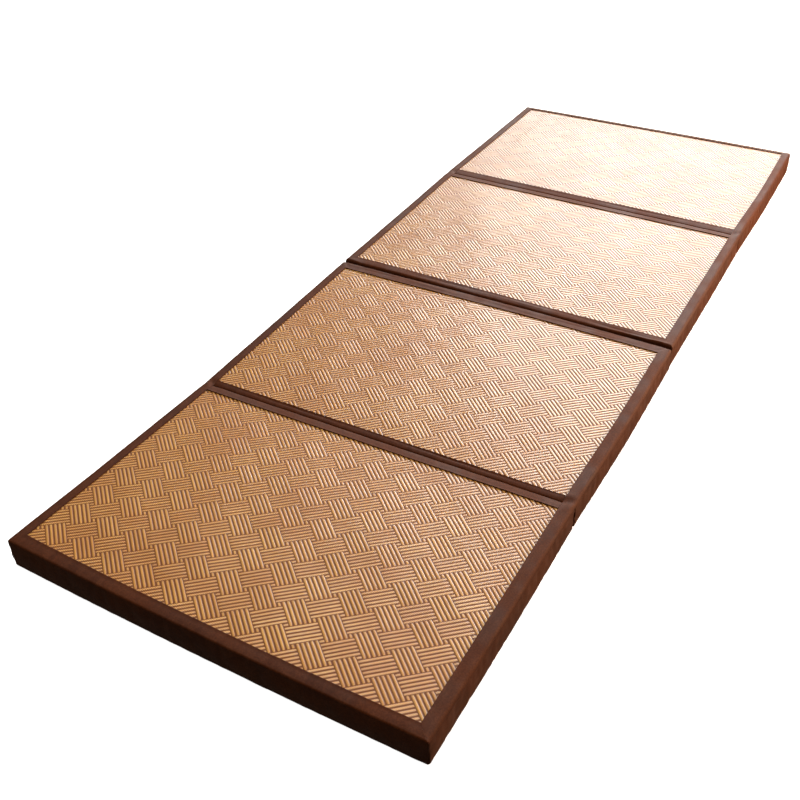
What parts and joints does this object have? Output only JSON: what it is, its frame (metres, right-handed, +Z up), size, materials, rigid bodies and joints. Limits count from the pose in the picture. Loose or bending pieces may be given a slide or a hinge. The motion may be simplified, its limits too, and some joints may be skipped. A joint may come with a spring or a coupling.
{
  "type": "folding bamboo mat",
  "caption": "Long folding floor mat lying open: padded panels with woven bamboo faces in brown cloth borders, hinged at the top and at the floor.",
  "frame": {"origin": "on the floor under the middle of the open mat", "axes": "+X across the mat, +Y along it from the front panel to the back one, +Z up from the floor"},
  "size_m": [0.6859, 1.8068, 0.0512],
  "materials": {
    "brown_cloth": "smooth suede-like brown cloth with a faint sheen",
    "woven_bamboo": "satin honey bamboo cords in a basket weave with dots, darker grooves"
  },
  "bodies": {
    "root": {"pad_1": "brown_cloth", "pad_2": "brown_cloth", "pad_3": "brown_cloth", "pad_4": "brown_cloth", "face_1": "woven_bamboo", "face_2": "woven_bamboo", "face_3": "woven_bamboo", "face_4": "woven_bamboo", "border_front_1": "brown_cloth", "border_front_2": "brown_cloth", "border_front_3": "brown_cloth", "border_front_4": "brown_cloth", "border_back_1": "brown_cloth", "border_back_2": "brown_cloth", "border_back_3": "brown_cloth", "border_back_4": "brown_cloth", "border_left_12": "brown_cloth", "border_right_12": "brown_cloth", "border_left_34": "brown_cloth", "border_right_34": "brown_cloth", "hinge_strip_23": "brown_cloth"}
  },
  "joints": []
}
